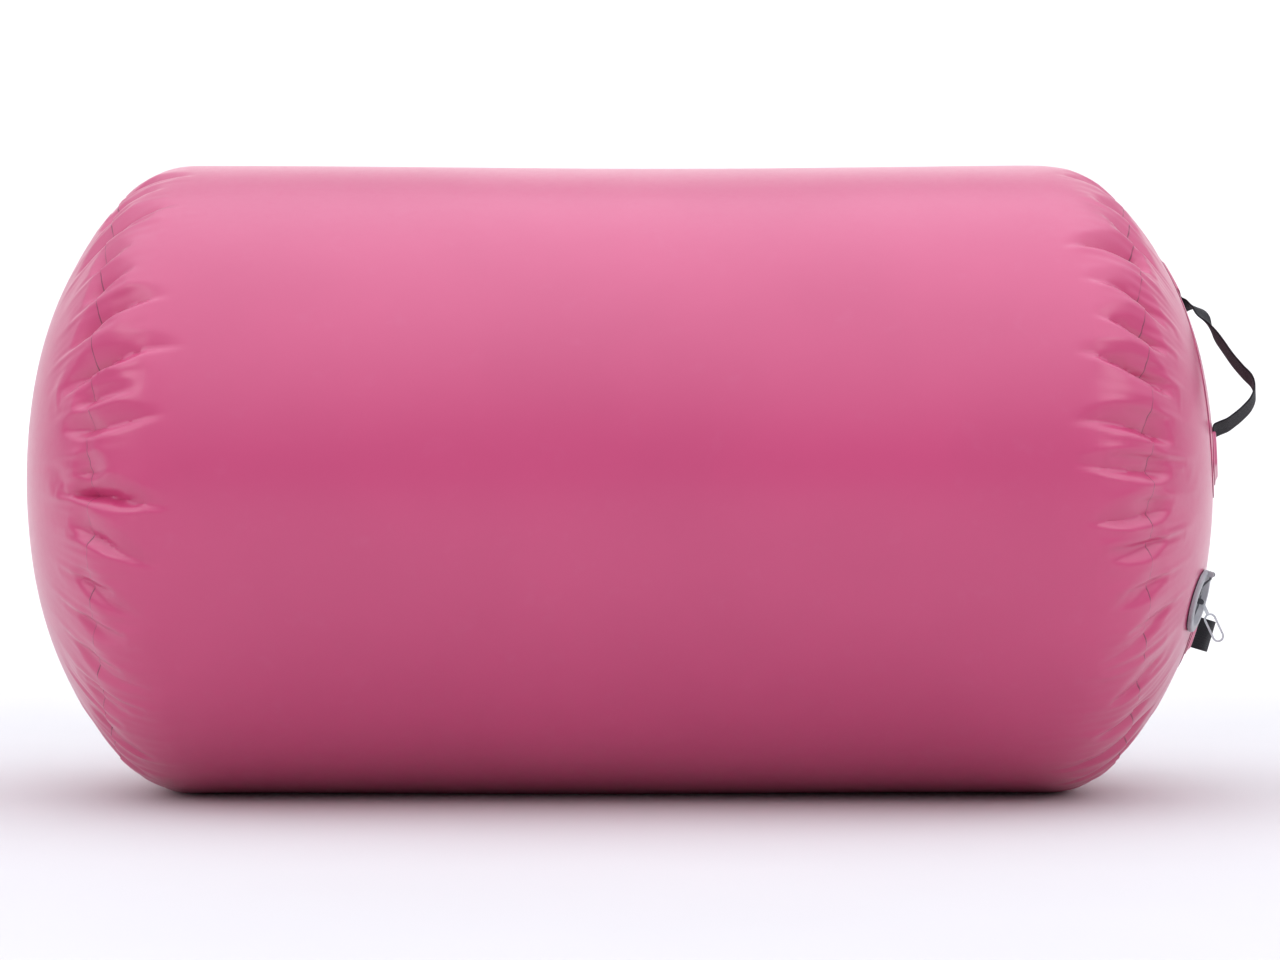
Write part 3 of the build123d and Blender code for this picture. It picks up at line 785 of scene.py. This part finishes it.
def make_strap(name, frame_, bow, twist_at, twist):
    """One length of webbing: welded flat at both ends, standing free between its roots."""
    lying_height = BOND + WEBBING / 2
    centre = strap_line(frame_, bow, lying_height)
    u, v = centre[:, 0], centre[:, 1]
    above = v - frame_.fall(u, 0 * u) - lying_height
    free = smooth(above, 0.0006, 0.010)
    tangent = np.gradient(centre, axis=0)
    tangent /= np.linalg.norm(tangent, axis=1, keepdims=True)
    up_u, up_v = -tangent[:, 1], tangent[:, 0]
    section = strap_section()
    turn = np.radians(twist) * np.exp(-(((u - twist_at) / TWIST_RUN) ** 2)) * free
    rows = []
    for across, up in section:
        w = across * np.cos(turn) - up * np.sin(turn)
        lift = across * np.sin(turn) + up * np.cos(turn)
        sag = (1 - free) * (frame_.fall(u, w) - frame_.fall(u, 0 * u))
        rows.append(frame_.point(u + lift * up_u, w, v + lift * up_v + sag))
    points = np.stack(rows, 1)
    count, columns = points.shape[:2]
    faces = [list(f)[::-1] for f in grid_faces(count, columns)]
    faces.append(list(range(columns)))
    faces.append([(count - 1) * columns + k for k in range(columns)][::-1])
    length = np.concatenate([[0], np.cumsum(np.linalg.norm(np.diff(centre, axis=0), axis=1))])
    flat = np.concatenate([np.asarray(f) for f in faces])
    uv = np.stack([length[flat // columns], section[flat % columns, 0]], -1)
    return make_object(name, points, faces, uv)


# where each handle sits on the dome (y, z from the axis), its lean, the half axes of its
# base patch, the bow's line (millimetres along the chord and outwards), and where and by how
# many degrees the webbing twists
HANDLES = {
    "handle_1": {
        "centre": (-0.0660, 0.1067),
        "lean": math.radians(65.9),
        "half": (0.132, 0.058),
        "bow": [
            (-64, 11),
            (-61, 17),
            (-55, 27),
            (-47, 36.5),
            (-37, 42),
            (-26, 42),
            (-14, 36),
            (0, 29.5),
            (18, 23),
            (34, 17),
            (48, 12.5),
            (60, 9),
        ],
        "twist": (0.055, -30),
    },
    "handle_2": {
        "centre": (0.030, -0.143),
        "lean": 0.0,
        "half": (0.132, 0.049),
        "bow": [(-62, 13), (-54, 19), (-36, 23.5), (0, 25), (36, 23.5), (54, 19), (62, 13)],
        "twist": (0.0, 0),
    },
}
patches = []
straps = []


def joint(name):
    return next(j for j in frame["record"]["behaviour"]["joints"] if j["name"] == name)


for name, handle in HANDLES.items():
    place = HandleFrame(handle["centre"], handle["lean"])
    patch = make_base_patch(f"{name}_patch", place, handle["half"])
    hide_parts(f"{name}_base_patch")
    patches.append(patch)
    for side, end in ((-1, "a"), (1, "b")):
        cover = make_cover(f"{name}_cover_{end}", place, side)
        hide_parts(f"{name}_cover_patch_{end}")
        patches.append(cover)
    strap = make_strap(f"{name}_strap", place, handle["bow"], *handle["twist"])
    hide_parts(f"{name}_webbing", f"{name}_webbing_end_a", f"{name}_webbing_end_b")
    hinge = joint(f"{name}_swing")
    level = float((np.array(hinge["pos_m"]) - place.origin) @ place.v)
    end = place.origin + place.v * (level + BLEND_ABOVE)
    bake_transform(strap)
    straps.append(strap)


# ---- Materials ---------------------------------------------------------------------------
class Nodes:
    """A small helper that adds shader nodes and links them by socket name."""

    def __init__(self, name):
        self.material = bpy.data.materials.new(name)
        self.material.use_nodes = True
        self.tree = self.material.node_tree
        self.shader = self.tree.nodes["Principled BSDF"]

    def add(self, kind, settings=None, **inputs):
        node = self.tree.nodes.new(kind)
        for key, value in (settings or {}).items():
            setattr(node, key, value)
        for key, value in inputs.items():
            self.feed(node, key.replace("_", " "), value)
        return node

    def feed(self, node, key, value):
        socket = node.inputs[int(key)] if key.strip().isdigit() else node.inputs[key]
        if isinstance(value, bpy.types.NodeSocket):
            self.tree.links.new(value, socket)
        else:
            socket.default_value = value

    def set(self, **inputs):
        for key, value in inputs.items():
            self.feed(self.shader, key.replace("_", " "), value)

    def math(self, operation, first, second=None):
        node = self.tree.nodes.new("ShaderNodeMath")
        node.operation = operation
        for index, value in enumerate((first, second)):
            if value is not None:
                self.feed(node, str(index), value)
        return node.outputs[0]

    def noise(self, scale, detail=3.0, roughness=0.5):
        node = self.add("ShaderNodeTexNoise", Scale=scale, Detail=detail, Roughness=roughness)
        place = self.add("ShaderNodeTexCoord").outputs["Object"]
        self.tree.links.new(place, node.inputs["Vector"])
        return node.outputs["Fac"]

    def uv(self):
        return self.add("ShaderNodeTexCoord").outputs["UV"]

    def remap(self, value, low, high, to_low, to_high):
        node = self.add("ShaderNodeMapRange", Value=value)
        node.inputs["From Min"].default_value = low
        node.inputs["From Max"].default_value = high
        node.inputs["To Min"].default_value = to_low
        node.inputs["To Max"].default_value = to_high
        return node.outputs[0]

    def mix(self, factor, first, second):
        node = self.add("ShaderNodeMix", {"data_type": "RGBA"})
        for socket, value in zip((0, 6, 7), (factor, first, second)):
            self.feed(node, str(socket), value)
        return node.outputs[2]

    def wave(self, scale, direction, vector):
        settings = {"bands_direction": direction, "wave_profile": "SIN"}
        node = self.add("ShaderNodeTexWave", settings, Scale=scale)
        self.tree.links.new(vector, node.inputs["Vector"])
        return node.outputs["Fac"]

    def bump(self, height, distance, strength=1.0, under=None):
        node = self.add("ShaderNodeBump", Strength=strength, Distance=distance, Height=height)
        if under is not None:
            self.tree.links.new(under, node.inputs["Normal"])
        return node.outputs["Normal"]


def waves_per_metre(pitch):
    """Scale of a wave texture whose bands repeat every pitch metres."""
    return 2 * math.pi / 20 / pitch


def rgb(red, green, blue):
    """A colour given in display values."""
    shares = (c / 255 for c in (red, green, blue))
    return tuple(((c + 0.055) / 1.055) ** 2.4 for c in shares) + (1,)


SCRIM_PITCH = 0.0011  # threads of the base cloth that show faintly through the coating
LAP_LINE = 0.0007  # half width of the wall's lengthwise joint
RIB_PITCH, CORD_PITCH = 0.0016, 0.0025  # of the webbing's weave


def coated_fabric(name, light, deep, joint=False):
    """Satin PVC coating over woven cloth: faint threads, mottling, scuffs, and painted shade along
    the groove at the seam and at the patches' cut edges.
    """
    n = Nodes(name)
    broad = n.noise(5.0, 3.0)
    cloudy = n.noise(38.0, 4.0, 0.6)
    colour = n.mix(n.remap(broad, 0.35, 0.65, 0.0, 1.0), light, deep)
    dust = n.remap(cloudy, 0.60, 0.85, 0.0, 0.05)
    colour = n.mix(dust, colour, (0.62, 0.28, 0.42, 1))
    # painted shade: the seam mask darkens the groove beside the wall's cut edge and each patch's cut
    # edge, broken up by noise
    broken = n.remap(n.noise(70.0, 3.0), 0.38, 0.56, 0.35, 1.0)
    painted_edge_shade = n.add("ShaderNodeAttribute", {"attribute_name": "seam"}).outputs["Fac"]
    dark = n.math("MULTIPLY", painted_edge_shade, broken)
    if joint:
        across = n.add("ShaderNodeSeparateXYZ", Vector=n.uv()).outputs["Y"]
        joint_at = (2 * math.pi + SEAM_ANGLE) * ROLL_RADIUS
        line = n.math("ABSOLUTE", n.math("SUBTRACT", across, joint_at))
        line = n.remap(line, 0.0, LAP_LINE, 1.0, 0.0)
        dark = n.math("MAXIMUM", dark, line)
    # the painted shade, together with the lengthwise joint line, is mixed towards this dark pink
    colour = n.mix(n.math("MULTIPLY", dark, 0.72), colour, rgb(70, 20, 42))
    n.set(Base_Color=colour)
    scuff = n.remap(n.noise(120.0, 5.0, 0.7), 0.45, 0.75, 0.0, 0.07)
    rough = n.math("ADD", n.remap(broad, 0.3, 0.7, 0.36, 0.44), scuff)
    n.set(Roughness=n.math("ADD", rough, n.math("MULTIPLY", dark, 0.3)))
    warp = n.wave(waves_per_metre(SCRIM_PITCH), "X", n.uv())
    weft = n.wave(waves_per_metre(SCRIM_PITCH), "Y", n.uv())
    threads = n.math("MAXIMUM", warp, weft)
    skin_bump = n.bump(threads, 0.000004, 0.5)
    peel = n.bump(n.noise(240.0, 2.0), 0.00002, 0.5, skin_bump)
    dents = n.bump(n.noise(9.0, 2.0), 0.0016, 0.30, peel)
    n.set(Normal=n.bump(dark, -0.0004, 1.0, dents))
    n.set(Specular_IOR_Level=0.60, Coat_Weight=0.75, Coat_Roughness=0.30)
    return n.material


def woven_webbing(name, light, deep):
    """Woven webbing: slanting ribs that turn back at each cord, and stray fuzz."""
    n = Nodes(name)
    parts = n.add("ShaderNodeSeparateXYZ", Vector=n.uv())
    along, across = parts.outputs["X"], parts.outputs["Y"]
    lane = n.math("PINGPONG", across, CORD_PITCH)
    slanted = n.math("ADD", along, lane)
    ribs = n.math("SINE", n.math("MULTIPLY", slanted, 2 * math.pi / RIB_PITCH))
    cords = n.math("SINE", n.math("MULTIPLY", across, 2 * math.pi / CORD_PITCH))
    weave = n.math("ADD", ribs, n.math("MULTIPLY", cords, 0.5))
    fuzz = n.noise(900.0, 2.0)
    shade = n.remap(n.math("ADD", weave, n.math("MULTIPLY", fuzz, 1.2)), -1.2, 2.4, 0.0, 1.0)
    n.set(Base_Color=n.mix(shade, deep, light))
    n.set(Roughness=n.remap(fuzz, 0.3, 0.7, 0.55, 0.80))
    n.set(Normal=n.bump(fuzz, 0.00006, 0.5, n.bump(weave, 0.00012, 0.8)))
    n.set(Sheen_Weight=0.06, Sheen_Roughness=0.4, Specular_IOR_Level=0.25)
    return n.material


def moulded(name, light, deep, rough, grain=700.0):
    """Moulded plastic or rubber: fine grain, slight mottling and polished wear."""
    n = Nodes(name)
    mottle = n.noise(60.0, 3.0)
    n.set(Base_Color=n.mix(n.remap(mottle, 0.35, 0.65, 0.0, 1.0), light, deep))
    n.set(Roughness=n.remap(n.noise(140.0, 4.0, 0.7), 0.3, 0.7, rough - 0.08, rough + 0.08))
    n.set(Normal=n.bump(n.noise(grain, 2.0), 0.00003, 0.6))
    return n.material


def clear_plastic(name):
    """Milky clear vinyl with faint flow marks."""
    n = Nodes(name)
    flow = n.noise(90.0, 2.0)
    n.set(Base_Color=n.mix(flow, rgb(226, 230, 232), rgb(208, 213, 218)))
    n.set(Roughness=n.remap(flow, 0.3, 0.7, 0.16, 0.30))
    n.set(Normal=n.bump(flow, 0.0002, 0.4))
    n.set(Transmission_Weight=0.55, IOR=1.46)
    return n.material


def wound_steel(name):
    """Drawn spring wire with fine lengthwise scratches."""
    n = Nodes(name)
    streak = n.noise(1500.0, 2.0)
    n.set(Base_Color=n.mix(streak, rgb(150, 150, 154), rgb(186, 186, 190)))
    n.set(Roughness=n.remap(streak, 0.3, 0.7, 0.25, 0.42))
    n.set(Metallic=1.0)
    return n.material


# linear colours; the coating's gloss adds the rest of the pink's lightness
PINK, DEEP_PINK = (0.565, 0.038, 0.160, 1), (0.535, 0.034, 0.150, 1)
PATCH_PINK, PATCH_DEEP = (0.550, 0.036, 0.155, 1), (0.510, 0.031, 0.142, 1)
skin_wall = coated_fabric("pvc_wall", PINK, DEEP_PINK, joint=True)
skin_end = coated_fabric("pvc_end", PINK, DEEP_PINK)
skin_patch = coated_fabric("pvc_patch", PATCH_PINK, PATCH_DEEP)
black_webbing = woven_webbing("webbing_black", rgb(34, 34, 38), rgb(14, 14, 17))
light_grey = moulded("valve_light_grey", rgb(168, 168, 172), rgb(152, 152, 157), 0.38)
# a darker copy of the valve's grey plastic, for the cap and its tether: painted shade of the valve's
# recess
grey_painted_shade = moulded("valve_grey_painted_shade", rgb(78, 79, 84), rgb(64, 65, 70), 0.42)
rubber = moulded("seal_rubber", rgb(44, 44, 47), rgb(32, 32, 35), 0.62, 900.0)
clear = clear_plastic("clear_vinyl")
steel = wound_steel("spring_steel")

for obj, finish in ((wall, skin_wall), (left_end, skin_end), (right_end, skin_end)):
    obj.data.materials.append(finish)
    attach(obj, "roll")
for obj in patches:
    obj.data.materials.append(skin_patch)
    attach(obj, "roll")
for obj in straps:
    obj.data.materials.append(black_webbing)

CAD_FINISHES = {
    "wall_seam_tape": skin_patch,
    "valve_doubler": skin_patch,
    "valve_body": light_grey,
    "valve_back_nut": light_grey,
    "valve_button": light_grey,
    "valve_stem": light_grey,
    "diaphragm_retainer": light_grey,
    # painted shade: the cap takes the darker grey copy to stand for the shade in the valve's recess
    "valve_cap": grey_painted_shade,
    "cap_tether": grey_painted_shade,
    "valve_gasket": rubber,
    "valve_diaphragm": rubber,
    "cap_seal": rubber,
    "pull_loop": clear,
    "valve_spring": steel,
}
for node, finish in CAD_FINISHES.items():
    for material_slot in frame["nodes"][node].material_slots:
        material_slot.link = "OBJECT"
        material_slot.material = finish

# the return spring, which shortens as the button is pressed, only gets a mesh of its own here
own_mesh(frame["nodes"]["valve_spring"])

# ---- Floor, backdrop and light -----------------------------------------------------------
SWEEP_RADIUS = 1.2
SWEEP_BACK = 3.6
FLOOR_FRONT = -7.0
STAGE_HALF_WIDTH = 9.0
STAGE_HEIGHT = 7.0
SWEEP_STEPS = 16
HORIZON_LIGHT = 0.20
ZENITH_LIGHT = 2.05


def make_stage():
    """A pale floor that curves up into a backdrop behind the roll."""
    line = [(FLOOR_FRONT, 0.0)]
    for step in range(SWEEP_STEPS + 1):
        turn = math.pi / 2 * step / SWEEP_STEPS
        line.append((SWEEP_BACK + SWEEP_RADIUS * math.sin(turn), SWEEP_RADIUS * (1 - math.cos(turn))))
    line.append((SWEEP_BACK + SWEEP_RADIUS, STAGE_HEIGHT))
    points = [(x, y, z) for y, z in line for x in (-STAGE_HALF_WIDTH, STAGE_HALF_WIDTH)]
    faces = [(2 * k, 2 * k + 1, 2 * k + 3, 2 * k + 2) for k in range(len(line) - 1)]
    backdrop = make_object("backdrop", points, faces, crease=80)
    n = Nodes("backdrop_paper")
    paper = n.noise(3.0, 3.0)
    n.set(Base_Color=n.mix(paper, (0.68, 0.67, 0.66, 1), (0.71, 0.70, 0.69, 1)), Roughness=0.8)
    backdrop.data.materials.append(n.material)


def softbox(name, place, aim, width, height, power):
    """A rectangular area light, unseen by the camera, facing a point."""
    data = bpy.data.lights.new(name, "AREA")
    data.shape = "RECTANGLE"
    data.size = width
    data.size_y = height
    data.energy = power
    lamp = bpy.data.objects.new(name, data)
    bpy.context.collection.objects.link(lamp)
    lamp.location = place
    lamp.rotation_euler = (Vector(aim) - Vector(place)).to_track_quat("-Z", "Y").to_euler()
    lamp.visible_camera = False


make_stage()
for name, side in (("side", 1), ("other_side", -1)):
    softbox(name, (side * 3.7, -2.7, 2.5), (side * 0.4, 0, 0.5), 2.2, 1.6, 20)
softbox("backdrop_wash", (0, 2.4, 3.2), (0, 4.8, 2.0), 8.0, 0.6, 130)


def studio_sky():
    """Soft light from all round that grows from dim at the horizon to full overhead."""
    world = bpy.data.worlds.new("studio")
    bpy.context.scene.world = world
    world.use_nodes = True
    tree = world.node_tree
    parts = tree.nodes.new("ShaderNodeSeparateXYZ")
    grow = tree.nodes.new("ShaderNodeMapRange")
    tree.links.new(tree.nodes.new("ShaderNodeTexCoord").outputs["Generated"], parts.inputs[0])
    tree.links.new(parts.outputs["Z"], grow.inputs["Value"])
    grow.inputs["From Min"].default_value = 0.0
    grow.inputs["From Max"].default_value = 1.0
    grow.inputs["To Min"].default_value = HORIZON_LIGHT
    grow.inputs["To Max"].default_value = ZENITH_LIGHT
    sky = tree.nodes["Background"]
    sky.inputs["Color"].default_value = (0.95, 0.97, 1.06, 1)
    tree.links.new(grow.outputs[0], sky.inputs["Strength"])


studio_sky()
bpy.context.scene.view_settings.view_transform = "Standard"
